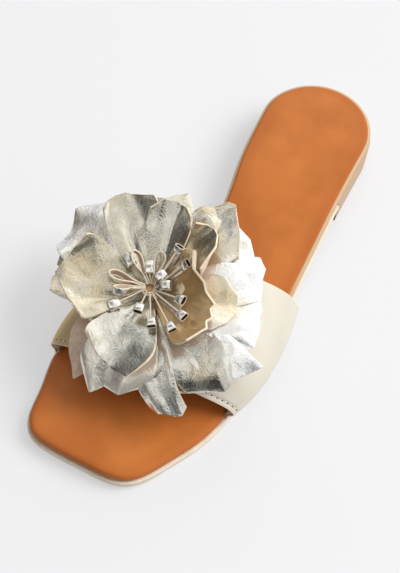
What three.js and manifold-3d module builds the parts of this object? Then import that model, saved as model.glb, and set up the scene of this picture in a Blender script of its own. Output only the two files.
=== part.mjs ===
// A flat slide sandal for the left foot: a wide strap with a big leather flower on a low-heeled sole.
// Millimetres. Along runs from the back of the heel to the toe (+Y), across to the inner side of the
// foot (+X), and +Z up from the floor. The part's origin is the middle of the heel's floor face.
import * as THREE from "three";
import { mergeVertices } from "three/addons/utils/BufferGeometryUtils.js";
import Module from "manifold-3d";

const wasm = await Module();
wasm.setup();
const { Manifold, Mesh: SolidMesh } = wasm;

// Sole
const LENGTH = 245;
const OUTSOLE_THICKNESS = 3.5;
const INSOLE_THICKNESS = 4.5;
const INSOLE_MARGIN = 1;
const INSOLE_ROLL = 2.6;
const INSOLE_PAD = 0.7;
const HEEL_LENGTH = 62;
const HEEL_ROUND = 30;
const HEEL_TAPER = 0.4;
const HEEL_REST = 32;
const TOE_START = 222;
const TOE_SQUARENESS = 4.6;
const TOE_SKEW = 0.06;
const TOE_TAPER = { lateral: 0.24, medial: 0.15 };
const GAP = 0.3;

// Half widths of the last at its edge, between the round of the heel and the toe.
const SECTIONS = [
  { along: 30, lateral: 29.6, medial: 30.2 },
  { along: 60, lateral: 32.3, medial: 25.6 },
  { along: 105, lateral: 37.2, medial: 16.6 },
  { along: 150, lateral: 42.4, medial: 27.5 },
  { along: 180, lateral: 44.9, medial: 41.5 },
  { along: 203, lateral: 41.4, medial: 42.6 },
  { along: 222, lateral: 33.8, medial: 37.0 },
];

// Height of the seat, on which the insole lies: heel, arch, flat forefoot, toe spring.
const PROFILE = [
  { along: 0, seat: 15.0 },
  { along: 62, seat: 14.6 },
  { along: 100, seat: 9.6 },
  { along: 140, seat: 4.2 },
  { along: 165, seat: 3.5 },
  { along: 212, seat: 3.5 },
  { along: 245, seat: 5.4 },
];

// Strap: where its front edge, middle and rear edge leave the sole and how high they rise. Each side swells out
// over the sole by so much, at a height over it, and its shoulder takes a share of the way up to the crown.
const STRAP_THICKNESS = 2;
const STRAP_BOW = 3;
const STRAP_SHOULDER_OUT = 0.72;
const STRAP = [
  { lateral: 187, medial: 202, crownX: 12, crownZ: 26 },
  { lateral: 157, medial: 172, crownX: 5.5, crownZ: 33.5 },
  { lateral: 126, medial: 141, crownX: 4, crownZ: 38.5 },
];
const STRAP_OUTER_SIDE = [
  { swell: 3, height: 7, shoulder: 0.64 },
  { swell: 8, height: 10, shoulder: 0.64 },
  { swell: 5.5, height: 9, shoulder: 0.64 },
];
const STRAP_INNER_SIDE = [
  { swell: 1.5, height: 7, shoulder: 0.4 },
  { swell: 3.5, height: 13, shoulder: 0.6 },
  { swell: 6, height: 10, shoulder: 0.64 },
];

// Flower: its place on the strap, as shares of the way across and of the way back, and its leather.
const FLOWER = { across: 0.6125, back: 0.56 };
const PETAL_THICKNESS = 1;
const PETAL_NECK = 0.22;
const PETAL_CLOSE = 0.1;
const PETAL_STEPS_OUT = 5;
const LOWER_HUB = { radius: 8, bottom: 0, top: 2.2 };
const UPPER_HUB = { radius: 6.5, bottom: 3.6, top: 5.0 };
const HUB_SIDES = 24;

// Rims: how the end of a petal is cut. Each pair is a place from one edge (0) to the other (1), and the
// share of the reach that is cut off there.
const RIMS = {
  leaf: [[0, 0.1], [0.47, 0], [0.5, 0.2], [0.7, 0.3], [1, 0.36]],
  twin: [[0, 0.23], [0.26, 0], [0.4, 0.11], [0.65, 0.07], [0.9, 0.2], [1, 0.26]],
  tongue: [[0, 0.2], [0.06, 0.08], [0.3, 0.02], [0.7, 0], [0.88, 0.01], [1, 0.08]],
  point: [[0, 0.28], [0.3, 0.15], [0.5, 0.09], [0.78, 0], [0.9, 0.03], [1, 0.14]],
  spike: [[0, 0.24], [0.15, 0.13], [0.5, 0], [0.57, 0.2], [0.65, 0.15], [1, 0.22]],
  nicks: [[0, 0.14], [0.25, 0.06], [0.36, 0], [0.55, 0.01], [0.58, 0.06], [0.8, 0.04], [1, 0.1]],
  fork: [[0, 0.16], [0.17, 0.06], [0.35, 0.09], [0.45, 0.17], [0.66, 0], [0.82, 0.06], [1, 0.18]],
  corner: [[0, 0.2], [0.2, 0.12], [0.42, 0.02], [0.5, 0], [0.62, 0.08], [0.75, 0.15], [1, 0.18]],
  round: [[0, 0.2], [0.22, 0.06], [0.5, 0], [0.62, 0.03], [0.8, 0.05], [1, 0.2]],
  spoon: [[0, 0.3], [0.15, 0.15], [0.33, 0.05], [0.5, 0], [0.68, 0.12], [0.84, 0.24], [1, 0.42]],
  scoop: [[0, 0.28], [0.24, 0.12], [0.55, 0.04], [0.8, 0], [0.9, 0.1], [1, 0.22]],
  dome: [[0, 0.17], [0.3, 0.07], [0.55, 0], [0.75, 0.01], [0.9, 0.05], [1, 0.14]],
  slant: [[0, 0.45], [0.3, 0.12], [0.5, 0.02], [0.7, 0], [0.85, 0.05], [1, 0.16]],
  jagged: [
    [0, 0.16], [0.22, 0], [0.3, 0.06], [0.37, 0.02], [0.46, 0.1],
    [0.53, 0.07], [0.62, 0.25], [0.7, 0.32], [0.8, 0.54], [1, 0.66],
  ],
};

// Petals: toward is the turn of the middle line from the inner side to the toe, in degrees. Reach and
// width are seen from above, middle and tip are heights, cup lifts both edges, twist tips one up, curl
// lifts the end and bend turns it aside. A row gives what differs from the plain petal.
const PLAIN_PETAL = { cup: 0.05, twist: 0, curl: 0, bend: 0 };
const LOWER_PETALS = [
  { toward: 64, reach: 50.5, width: 26, middle: 3, tip: -2.5, cup: 0, bend: 12, rim: "leaf" },
  { toward: 98, reach: 52, width: 37, middle: 6.5, tip: 0.5, rim: "twin" },
  { toward: 121, reach: 56, width: 19, middle: 6.6, tip: -4, cup: 0.1, bend: 7, rim: "tongue" },
  { toward: 147, reach: 55.5, width: 36, middle: 6, tip: -3, rim: "point" },
  { toward: 176, reach: 60, width: 38, middle: 4, tip: -5, rim: "spike" },
  { toward: 201, reach: 50, width: 38, middle: 6, tip: -2, rim: "round" },
  { toward: 229, reach: 52, width: 42, middle: 4, tip: -1.5, rim: "nicks" },
  { toward: 252, reach: 56.5, width: 28, middle: 5, tip: 1, curl: 3.5, rim: "point" },
  { toward: 278, reach: 52, width: 34, middle: 6.5, tip: 5, rim: "fork" },
  { toward: 306, reach: 49.5, width: 38, middle: 4.5, tip: 5, rim: "round" },
  { toward: 341, reach: 60, width: 42, middle: 6.5, tip: 3, rim: "corner" },
  { toward: 8, reach: 50, width: 34, middle: 4.5, tip: 1, curl: 1.5, rim: "nicks" },
  { toward: 36, reach: 32, width: 30, middle: 6, tip: 2, rim: "round" },
];
const UPPER_PETALS = [
  { toward: 20, reach: 44, width: 40, middle: 10, tip: 12.5, cup: 0.2, twist: -6, rim: "spoon" },
  { toward: 98, reach: 42.5, width: 33, middle: 9.5, tip: 9, cup: 0.5, twist: -6, rim: "scoop" },
  { toward: 186, reach: 36, width: 44, middle: 9.5, tip: 20, cup: 0.1, rim: "jagged" },
  { toward: 194, reach: 40.5, width: 28, middle: 8.5, tip: 6.5, cup: 0.1, rim: "round" },
  { toward: 244, reach: 38.5, width: 22, middle: 9, tip: 17, cup: 0.2, rim: "slant" },
  { toward: 264, reach: 44, width: 24, middle: 9, tip: 9, cup: 0.1, rim: "round" },
  { toward: 283, reach: 42, width: 22, middle: 11, tip: 15, cup: 0.3, twist: 4, curl: 1.5, rim: "round" },
  { toward: 314, reach: 48, width: 27, middle: 10, tip: 12, cup: 0.3, curl: 2.5, rim: "dome" },
];

// Stamens: narrow strips folded into loops round a rolled knot. Each pair of a loop's form is a share of
// its reach and half the space between its two sides. Roll turns a loop about its own length.
const STAMEN_STRIP = { width: 3.6, thickness: 0.8 };
const LOOPS = {
  oval: [[0, 0.5], [0.25, 1.4], [0.55, 2.2], [0.85, 1.9], [1, 0.6]],
  bulb: [[0, 0.5], [0.7, 0.5], [0.77, 1.4], [0.95, 1.5], [1, 1.1]],
};
const STAMENS = [
  { toward: 338, reach: 19, rise: 8, roll: 75, form: "bulb" },
  { toward: 325, reach: 21, rise: 9, roll: 25, form: "oval" },
  { toward: 14, reach: 19, rise: 7, roll: 20, form: "oval" },
  { toward: 38, reach: 17, rise: 10, roll: 65, form: "oval" },
  { toward: 59, reach: 21, rise: 6, roll: 50, form: "bulb" },
  { toward: 108, reach: 15, rise: 8, roll: -60, form: "bulb" },
  { toward: 128, reach: 21, rise: 7, roll: 10, form: "bulb" },
  { toward: 149, reach: 26, rise: 6, roll: 15, form: "bulb" },
  { toward: 168, reach: 23, rise: 7, roll: 5, form: "bulb" },
  { toward: 185, reach: 21, rise: 7, roll: 10, form: "bulb" },
  { toward: 234, reach: 22, rise: 8, roll: -60, form: "bulb" },
  { toward: 258, reach: 24, rise: 8, roll: 45, form: "bulb" },
  { toward: 276, reach: 20, rise: 9, roll: 20, form: "oval" },
  { toward: 300, reach: 22, rise: 9, roll: 70, form: "oval" },
];
const KNOT = { radius: 4, topRadius: 2.8, bottom: 5.3, top: 11, sides: 16 };

const TAN = 0xc87842;
const BEIGE = 0xd8c3a5;
const TAUPE = 0xb0926f;
const CREAM_METAL = 0xe9e2cf;
const FOIL = { color: 0xd9d2bd, roughness: 0.3, metalness: 1 };

const radians = THREE.MathUtils.degToRad;
const signedPower = (value, power) => Math.sign(value) * Math.abs(value) ** power;

// A column of a table as a smooth function of along.
function column(table, name) {
  const positions = table.map((row) => row.along);
  const values = table.map((row) => row[name]);
  const curve = new THREE.CubicInterpolant(positions, values, 1);
  return (along) => curve.evaluate(along)[0];
}

const lateral = column(SECTIONS, "lateral");
const medial = column(SECTIONS, "medial");
const seat = column(PROFILE, "seat");

// A closed solid from vertices and triangles, turned outwards if need be.
function solidFrom(vertices, triangles) {
  const make = (faces) =>
    new Manifold(
      new SolidMesh({
        numProp: 3,
        vertProperties: new Float32Array(vertices.flatMap((v) => [v.x, v.y, v.z])),
        triVerts: new Uint32Array(faces.flat()),
      }),
    );
  const solid = make(triangles);
  return solid.volume() > 0 ? solid : make(triangles.map(([a, b, c]) => [a, c, b]));
}

// A closed solid from a three.js geometry.
function solidFromGeometry(geometry) {
  const bare = new THREE.BufferGeometry();
  bare.setAttribute("position", geometry.getAttribute("position"));
  bare.setIndex(geometry.getIndex());
  const merged = mergeVertices(bare);
  return new Manifold(
    new SolidMesh({
      numProp: 3,
      vertProperties: new Float32Array(merged.getAttribute("position").array),
      triVerts: new Uint32Array(merged.getIndex().array),
    }),
  );
}

// An upright disc or cone with its floor at a height.
function disc(bottomRadius, topRadius, bottom, top, sides) {
  const geometry = new THREE.CylinderGeometry(topRadius, bottomRadius, top - bottom, sides);
  return solidFromGeometry(geometry.rotateX(Math.PI / 2).translate(0, 0, (bottom + top) / 2));
}

// The solids joined into one body, with any pocket sealed between them filled.
function join(solids) {
  const bodies = Manifold.union(solids).decompose();
  return bodies.reduce((most, body) => (body.volume() > most.volume() ? body : most));
}

function meshFrom(name, solid, material) {
  const { numProp, numVert, vertProperties, triVerts } = solid.getMesh();
  const positions = new Float32Array(numVert * 3);
  for (let i = 0; i < numVert; i++) {
    positions.set(vertProperties.subarray(i * numProp, i * numProp + 3), i * 3);
  }
  const geometry = new THREE.BufferGeometry();
  geometry.setAttribute("position", new THREE.BufferAttribute(positions, 3));
  geometry.setIndex(new THREE.BufferAttribute(triVerts, 1));
  geometry.computeVertexNormals();
  const mesh = new THREE.Mesh(geometry, new THREE.MeshStandardMaterial(material));
  mesh.name = name;
  return mesh;
}

// The toe's front edge from the outer corner (turn 0) to the inner one (turn 1).
function toePoint(turn) {
  const angle = Math.PI * (1 - turn);
  const half = (lateral(TOE_START) + medial(TOE_START)) / 2;
  const middle = (medial(TOE_START) - lateral(TOE_START)) / 2;
  const share = Math.abs(Math.sin(angle)) ** (2 / TOE_SQUARENESS);
  const out = half * signedPower(Math.cos(angle), 2 / TOE_SQUARENESS);
  const taper = out < 0 ? TOE_TAPER.lateral : TOE_TAPER.medial;
  const depth = LENGTH - TOE_START + TOE_SKEW * (out - half / 2);
  return new THREE.Vector2(middle + out * (1 - taper * share), TOE_START + depth * share);
}

// The round of the heel from the inner side (turn 0) to the outer side (turn 1).
function heelPoint(turn) {
  const angle = Math.PI * turn;
  const half = (lateral(HEEL_ROUND) + medial(HEEL_ROUND)) / 2;
  const middle = (medial(HEEL_ROUND) - lateral(HEEL_ROUND)) / 2;
  return new THREE.Vector2(middle + half * Math.cos(angle), HEEL_ROUND * (1 - Math.sin(angle)));
}

// The sole's outline as one ring in four sides: outer side, toe, inner side, heel.
const SIDE_STEPS = 28;
const END_STEPS = 8;
const RING = 2 * (SIDE_STEPS + END_STEPS);

function soleRing() {
  const steps = (count, from, to, point) =>
    Array.from({ length: count + 1 }, (_, i) => point(from + ((to - from) * i) / count));
  const outer = (along) => new THREE.Vector2(-lateral(along), along);
  const inner = (along) => new THREE.Vector2(medial(along), along);
  const into = (point) => steps(8, 0.03, 0.25, point);
  const outOf = (point) => steps(8, 0.75, 0.97, point);
  const end = (point) => steps(24, 0.25, 0.75, point);
  const sides = [
    [...outOf(heelPoint), ...steps(40, HEEL_ROUND, TOE_START, outer), ...into(toePoint)],
    end(toePoint),
    [...outOf(toePoint), ...steps(40, TOE_START, HEEL_ROUND, inner), ...into(heelPoint)],
    end(heelPoint),
  ];
  return sides.flatMap((points, k) =>
    new THREE.SplineCurve(points).getSpacedPoints(k % 2 ? END_STEPS : SIDE_STEPS).slice(0, -1),
  );
}

function insetRing(ring, inset) {
  return ring.map((point, i) => {
    const before = ring[(i + ring.length - 1) % ring.length];
    const after = ring[(i + 1) % ring.length];
    const tangent = after.clone().sub(before).normalize();
    return new THREE.Vector2(point.x + tangent.y * inset, point.y - tangent.x * inset);
  });
}

// A solid in layers from top to bottom: each layer is an inset of the sole's ring and a height for each
// point of it. The first and last layers are closed by a patch that follows their height too.
function slab(layers) {
  const outline = soleRing();
  const vertices = [];
  const triangles = [];
  const rings = layers.map(({ inset, height }) =>
    insetRing(outline, inset).map((p) => {
      vertices.push(new THREE.Vector3(p.x, p.y, height(p.y)));
      return vertices.length - 1;
    }),
  );
  for (let k = 0; k + 1 < rings.length; k++) {
    for (let i = 0; i < RING; i++) {
      const j = (i + 1) % RING;
      const [a, b, c, d] = [rings[k][i], rings[k][j], rings[k + 1][j], rings[k + 1][i]];
      triangles.push([a, b, c], [a, c, d]);
    }
  }
  closeRing(vertices, triangles, rings[0], layers[0], false);
  closeRing(vertices, triangles, rings.at(-1), layers.at(-1), true);
  return solidFrom(vertices, triangles);
}

// A patch over a ring: each inner point is blended from the four sides of the ring.
function closeRing(vertices, triangles, ring, { height, pad = 0 }, turned) {
  const at = (i) => ring[i % RING];
  const outer = (i) => at(i);
  const toe = (j) => at(SIDE_STEPS + j);
  const inner = (i) => at(2 * SIDE_STEPS + END_STEPS - i);
  const heel = (j) => at(RING - j);
  const grid = [];
  for (let i = 0; i <= SIDE_STEPS; i++) {
    grid.push([]);
    for (let j = 0; j <= END_STEPS; j++) {
      const u = i / SIDE_STEPS;
      const v = j / END_STEPS;
      const onEnd = i === 0 ? heel(j) : i === SIDE_STEPS ? toe(j) : undefined;
      const onSide = j === 0 ? outer(i) : j === END_STEPS ? inner(i) : undefined;
      const onRing = onEnd ?? onSide;
      if (onRing !== undefined) {
        grid[i].push(onRing);
        continue;
      }
      const blend = (axis) => {
        const value = (index) => vertices[index][axis];
        const sides = (1 - v) * value(outer(i)) + v * value(inner(i));
        const ends = (1 - u) * value(heel(j)) + u * value(toe(j));
        const near = (1 - v) * value(outer(0)) + v * value(inner(0));
        const far = (1 - v) * value(outer(SIDE_STEPS)) + v * value(inner(SIDE_STEPS));
        return sides + ends - (1 - u) * near - u * far;
      };
      const x = blend("x");
      const y = blend("y");
      const swell = pad * Math.min(1, 16 * u * (1 - u)) * (1 - (2 * v - 1) ** 2);
      vertices.push(new THREE.Vector3(x, y, height(y) + swell));
      grid[i].push(vertices.length - 1);
    }
  }
  for (let i = 0; i < SIDE_STEPS; i++) {
    for (let j = 0; j < END_STEPS; j++) {
      const [a, b, c, d] = [grid[i][j], grid[i][j + 1], grid[i + 1][j + 1], grid[i + 1][j]];
      const faces = [[a, b, c], [a, c, d]];
      triangles.push(...(turned ? faces.map(([p, q, r]) => [p, r, q]) : faces));
    }
  }
}

// A point of the surface pointAt(u, v) and its normal, which is up where u runs to +X and v to -Y.
function surfaceFrame(pointAt, u, v) {
  const small = 1e-3;
  const alongU = pointAt(u + small, v).sub(pointAt(u - small, v));
  const alongV = pointAt(u, v + small).sub(pointAt(u, v - small));
  return { point: pointAt(u, v), normal: alongV.cross(alongU).normalize() };
}

// A wall about the surface pointAt(u, v), with u and v from 0 to 1: so far outside it and inside it.
function wall(pointAt, outside, inside, uSteps, vSteps) {
  const vertices = [];
  const triangles = [];
  const count = (uSteps + 1) * (vSteps + 1);
  const index = (side, i, j) => side * count + i * (vSteps + 1) + j;
  for (const offset of [outside, -inside]) {
    for (let i = 0; i <= uSteps; i++) {
      for (let j = 0; j <= vSteps; j++) {
        const { point, normal } = surfaceFrame(pointAt, i / uSteps, j / vSteps);
        vertices.push(point.addScaledVector(normal, offset));
      }
    }
  }
  const quad = (a, b, c, d) => triangles.push([a, b, c], [a, c, d]);
  for (let i = 0; i < uSteps; i++) {
    for (let j = 0; j < vSteps; j++) {
      quad(index(0, i, j), index(0, i + 1, j), index(0, i + 1, j + 1), index(0, i, j + 1));
      quad(index(1, i, j + 1), index(1, i + 1, j + 1), index(1, i + 1, j), index(1, i, j));
    }
  }
  for (let i = 0; i < uSteps; i++) {
    quad(index(0, i, 0), index(1, i, 0), index(1, i + 1, 0), index(0, i + 1, 0));
    quad(index(0, i + 1, vSteps), index(1, i + 1, vSteps), index(1, i, vSteps), index(0, i, vSteps));
  }
  for (let j = 0; j < vSteps; j++) {
    quad(index(0, 0, j + 1), index(1, 0, j + 1), index(1, 0, j), index(0, 0, j));
    quad(index(0, uSteps, j), index(1, uSteps, j), index(1, uSteps, j + 1), index(0, uSteps, j + 1));
  }
  return solidFrom(vertices, triangles);
}

// A row of one of the strap's tables at any place between the front edge (0) and the rear edge (1).
function blendRows([front, middle, rear], place) {
  const blend = (name) =>
    front[name] * 2 * (place - 0.5) * (place - 1) +
    middle[name] * 4 * place * (1 - place) +
    rear[name] * 2 * place * (place - 0.5);
  return Object.fromEntries(Object.keys(front).map((name) => [name, blend(name)]));
}

// One section of the strap from the outer edge of the sole over the foot to the inner edge.
function strapSection(place, dip) {
  const row = blendRows(STRAP, place);
  const reach = GAP + STRAP_THICKNESS / 2;
  const outerFoot = reach - lateral(row.lateral);
  const innerFoot = medial(row.medial) - reach;
  const side = (foot, along, form, sign) => {
    const floor = seat(along) + 2 * GAP;
    const widest = foot + sign * form.swell;
    const top = floor + form.height;
    return [
      ...(dip ? [[foot, floor - dip]] : []),
      [foot, floor],
      [foot + sign * form.swell * 0.15, floor + INSOLE_THICKNESS * 0.6],
      [widest, top],
      [
        row.crownX + (widest - row.crownX) * STRAP_SHOULDER_OUT,
        top + (row.crownZ - top) * form.shoulder,
      ],
    ];
  };
  const outer = side(outerFoot, row.lateral, blendRows(STRAP_OUTER_SIDE, place), -1);
  const inner = side(innerFoot, row.medial, blendRows(STRAP_INNER_SIDE, place), 1);
  const route = [...outer, [row.crownX, row.crownZ], ...inner.reverse()];
  const curve = new THREE.CatmullRomCurve3(route.map(([x, z]) => new THREE.Vector3(x, 0, z)));
  return (u) => {
    const point = curve.getPointAt(THREE.MathUtils.clamp(u, 0, 1));
    const share = (point.x - outerFoot) / (innerFoot - outerFoot);
    const bow = STRAP_BOW * Math.sin(Math.PI * THREE.MathUtils.clamp(share, 0, 1));
    point.y = row.lateral + (row.medial - row.lateral) * share + bow;
    return point;
  };
}

// The strap's middle surface, from the outer edge (u 0) to the inner one and from front (v 0) to rear.
function strapSurface(dip = 0, overrun = 0) {
  const sections = new Map();
  return (u, v) => {
    const place = v * (1 + 2 * overrun) - overrun;
    if (!sections.has(place)) sections.set(place, strapSection(place, dip));
    return sections.get(place)(u);
  };
}

function makeOutsole() {
  const bottom = (along) => Math.max(0, seat(along) - OUTSOLE_THICKNESS);
  const whole = slab([
    { inset: 0.5, height: seat },
    { inset: 0, height: (along) => seat(along) - 0.5 },
    { inset: 0, height: (along) => bottom(along) + 0.6 },
    { inset: 0.8, height: bottom },
  ]);
  return whole.trimByPlane([0, 1, 0], HEEL_LENGTH + GAP);
}

function makeHeel() {
  const whole = slab([
    { inset: GAP, height: seat },
    { inset: GAP + HEEL_TAPER, height: () => 0.6 },
    { inset: GAP + HEEL_TAPER + 0.6, height: () => 0 },
  ]);
  return whole.trimByPlane([0, -1, 0], -HEEL_LENGTH);
}

function makeInsole() {
  const top = (along) => seat(along) + GAP + INSOLE_THICKNESS;
  const roll = (angle) => ({
    inset: INSOLE_MARGIN + INSOLE_ROLL * (1 - Math.cos(angle)),
    height: (along) => top(along) - INSOLE_ROLL * (1 - Math.sin(angle)),
  });
  const whole = slab([
    { ...roll(Math.PI / 2), pad: INSOLE_PAD },
    roll((Math.PI * 62) / 180),
    roll((Math.PI * 30) / 180),
    roll(0),
    { inset: INSOLE_MARGIN, height: (along) => seat(along) + GAP + 0.8 },
    { inset: INSOLE_MARGIN + 0.8, height: (along) => seat(along) + GAP },
  ]);
  const inside = STRAP_THICKNESS / 2 + 2 * GAP;
  const relief = wall(strapSurface(2, 0.012), inside + INSOLE_THICKNESS, inside, 32, 8);
  return whole.subtract(relief);
}

function makeStrap() {
  return wall(strapSurface(), STRAP_THICKNESS / 2, STRAP_THICKNESS / 2, 32, 8);
}

// A point of a petal, with t from the hub to the tip and w from one edge (0) to the other, in equal steps
// from corner to corner of its rim.
function petalSurface(petal, hub) {
  const { toward, reach, width, middle, tip, cup, twist, curl, bend } = { ...PLAIN_PETAL, ...petal };
  const rim = RIMS[petal.rim];
  const base = (hub.bottom + hub.top) / 2;
  const start = hub.radius * 0.5;
  const turn = radians(toward);
  return (t, w) => {
    const at = THREE.MathUtils.clamp(w, 0, 1) * (rim.length - 1);
    const corner = Math.min(Math.floor(at), rim.length - 2);
    const between = (item) => THREE.MathUtils.lerp(rim[corner][item], rim[corner + 1][item], at - corner);
    const side = 2 * between(0) - 1;
    const out = start + (reach - start) * t * (1 - between(1) * t ** 2);
    const open = Math.sin(THREE.MathUtils.clamp(1.25 * t, 0, 1) * Math.PI * 0.5) ** 1.2;
    const half = (width / 2) * (PETAL_NECK + (1 - PETAL_NECK) * open - PETAL_CLOSE * t ** 5);
    const rise = base * (1 - t) * (1 - 2 * t) + middle * 4 * t * (1 - t) + tip * t * (2 * t - 1);
    const edge = half * (cup * side * side + Math.tan(radians(twist)) * side) * t;
    const spread = side * half + bend * t ** 4;
    return new THREE.Vector3(
      out * Math.cos(turn) - spread * Math.sin(turn),
      out * Math.sin(turn) + spread * Math.cos(turn),
      rise + edge + curl * t ** 6,
    );
  };
}

function makeRosette(petals, hub) {
  const half = PETAL_THICKNESS / 2;
  const leaves = petals.map((petal) =>
    wall(petalSurface(petal, hub), half, half, PETAL_STEPS_OUT, RIMS[petal.rim].length - 1),
  );
  return join([disc(hub.radius, hub.radius, hub.bottom, hub.top, HUB_SIDES), ...leaves]);
}

// One strip folded into a loop, lying along +X from the knot and level across. Where its two sides touch
// it is solid.
function stamenLoop({ reach, form }) {
  const { width, thickness } = STAMEN_STRIP;
  const ring = (points) => [...points.map(([out, half]) => [out, -half]), ...points.toReversed()];
  const path = (points) => ring(points).map(([out, half]) => new THREE.Vector2(out, half));
  const sides = LOOPS[form].map(([share, half]) => [share * reach, half]);
  const shape = new THREE.Shape(path(sides.map(([out, half]) => [out, half + thickness / 2])));
  const inner = sides
    .map(([out, half]) => [out * (1 - thickness / reach), half - thickness / 2])
    .filter(([, half]) => half > 0.15);
  shape.holes.push(new THREE.Path(path(inner)));
  const geometry = new THREE.ExtrudeGeometry(shape, { depth: width, bevelEnabled: false });
  return geometry.translate(0, 0, -width / 2);
}

function makeStamens() {
  const knot = disc(KNOT.radius, KNOT.topRadius, KNOT.bottom, KNOT.top, KNOT.sides);
  const loops = STAMENS.map((stamen) =>
    solidFromGeometry(
      stamenLoop(stamen)
        .rotateX(radians(stamen.roll))
        .rotateY(-Math.atan2(stamen.rise, stamen.reach))
        .rotateZ(radians(stamen.toward))
        .translate(0, 0, (KNOT.bottom + KNOT.top) / 2),
    ),
  );
  return join([knot, ...loops]);
}

const shoe = new THREE.Group();
shoe.position.y = -HEEL_REST;
shoe.add(
  meshFrom("outsole", makeOutsole(), { color: BEIGE, roughness: 0.6 }),
  meshFrom("heel", makeHeel(), { color: TAUPE, roughness: 0.55 }),
  meshFrom("insole", makeInsole(), { color: TAN, roughness: 0.5 }),
  meshFrom("strap", makeStrap(), { color: CREAM_METAL, roughness: 0.35, metalness: 0.6 }),
);

const flower = new THREE.Group();
const place = surfaceFrame(strapSurface(), FLOWER.across, FLOWER.back);
flower.position.copy(place.point).addScaledVector(place.normal, STRAP_THICKNESS / 2 + 2 * GAP);
flower.quaternion.setFromUnitVectors(new THREE.Vector3(0, 0, 1), place.normal);
flower.add(
  meshFrom("petals_lower", makeRosette(LOWER_PETALS, LOWER_HUB), FOIL),
  meshFrom("petals_upper", makeRosette(UPPER_PETALS, UPPER_HUB), FOIL),
  meshFrom("stamens", makeStamens(), FOIL),
);
shoe.add(flower);

const slide = new THREE.Group();
slide.add(shoe);

export default slide;
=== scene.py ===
"""A flat slide sandal for the left foot: a big flower of metallic leather on a wide strap over a tan footbed.

Sizes are in millimetres. Along runs from the back of the heel to the toe (+Y), across to the inner side of
the foot (+X), and +Z up from the floor.
"""

import math
import random
from collections import namedtuple

import bmesh
import bpy
import numpy as np
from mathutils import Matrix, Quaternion, Vector, noise


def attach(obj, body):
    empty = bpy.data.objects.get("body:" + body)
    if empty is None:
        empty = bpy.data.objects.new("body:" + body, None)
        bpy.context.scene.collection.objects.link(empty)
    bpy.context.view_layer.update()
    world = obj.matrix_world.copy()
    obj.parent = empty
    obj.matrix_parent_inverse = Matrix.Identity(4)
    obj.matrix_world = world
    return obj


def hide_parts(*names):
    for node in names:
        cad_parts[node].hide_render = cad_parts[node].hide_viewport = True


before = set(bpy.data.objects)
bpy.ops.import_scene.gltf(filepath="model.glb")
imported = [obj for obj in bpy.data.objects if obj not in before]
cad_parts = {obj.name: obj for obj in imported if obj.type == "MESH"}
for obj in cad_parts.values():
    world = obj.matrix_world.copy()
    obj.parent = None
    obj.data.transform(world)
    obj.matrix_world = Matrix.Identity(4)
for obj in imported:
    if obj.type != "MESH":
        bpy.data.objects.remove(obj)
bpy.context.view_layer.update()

MM = 0.001
SAME_POINT = 1e-6

# Sole
LENGTH = 245
OUTSOLE_THICKNESS = 3.5
INSOLE_THICKNESS = 4.5
INSOLE_PAD = 0.7
INSOLE_MARGIN = 1.2
HEEL_LENGTH = 62
HEEL_ROUND = 30
HEEL_TAPER = 0.4
HEEL_REST = 32
TOE_START = 222
TOE_SQUARENESS = 4.6
TOE_SKEW = 0.06
TOE_TAPER_OUTER = 0.24
TOE_TAPER_INNER = 0.15
GAP = 0.3
NOTCH_EASE = 1.6
SIDE_STEPS = 110
END_STEPS = 40
CORNER_FROM = 0.03
CORNER_TO = 0.25
CORNER_SAMPLES = 40
END_SAMPLES = 120
SIDE_SAMPLES = 200
RING_SMOOTHINGS = 4
SHARP_ANGLE = 50

# Edges of the outsole and the heel: how far in a ring lies, and how far over the bottom or under the seat.
OUTSOLE_LOW = ((0.8, 0), (0.25, 0.2), (0, 0.7))
OUTSOLE_HIGH = ((0, 0.6), (0.15, 0.15), (0.6, 0))
HEEL_LOW = ((0.7, 0), (0.2, 0.2), (0, 0.7))
HEEL_HIGH = ((0, 0.5), (0.4, 0))

# Half widths of the last at its edge: along, outer side, inner side.
SECTIONS = np.array([
    (30, 29.6, 30.2),
    (60, 32.3, 25.6),
    (105, 37.2, 16.6),
    (150, 42.4, 27.5),
    (180, 44.9, 41.5),
    (203, 41.4, 42.6),
    (222, 33.8, 37.0),
])

# Height of the seat, on which the footbed lies: along, seat.
PROFILE = np.array([
    (0, 15.0),
    (62, 14.6),
    (100, 9.6),
    (140, 4.2),
    (165, 3.5),
    (212, 3.5),
    (245, 5.4),
])

# Footbed edge from the seat up: how far in and how far below the top a ring lies, where the leather is
# wrapped round the edge (toe) and where it is cut off on the board (heel).
EdgeRow = namedtuple("EdgeRow", "wrap_in wrap_down cut_in cut_down")
FOOTBED_EDGE = tuple(EdgeRow(*row) for row in (
    (1.0, 4.5, 0.5, 4.5),
    (0.25, 4.15, -0.2, 4.3),
    (0.0, 3.5, -0.4, 4.0),
    (0.0, 2.7, -0.4, 1.3),
    (0.15, 2.0, -0.3, 0.95),
    (0.5, 1.35, -0.1, 0.85),
    (1.0, 0.85, 0.85, 0.80),
    (1.6, 0.48, 0.92, 0.70),
    (2.4, 0.22, 1.10, 0.30),
    (3.4, 0.08, 1.55, 0.08),
    (4.6, 0.0, 2.5, 0.0),
    (6.4, -0.05, 5.0, -0.05),
))
FOOTBED_CROWN_EASE = 16
FOOTBED_LUMPS = 0.25
FOOTBED_LUMP_SIZE = 26
BOARD_SHOWS_BELOW = 0.75
# Darker band on the footbed's top towards the edge: its strength and reach. Painted shade on the footbed's
# sides: how far below the top it starts and over how much it fades in.
EDGE_DARK = 0.6
EDGE_DARK_REACH = 10
SIDE_SHADE_BELOW = 2.4
SIDE_SHADE_FADE = 1.4
WRAP_STARTS = 105
WRAP_ENDS = 140

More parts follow.
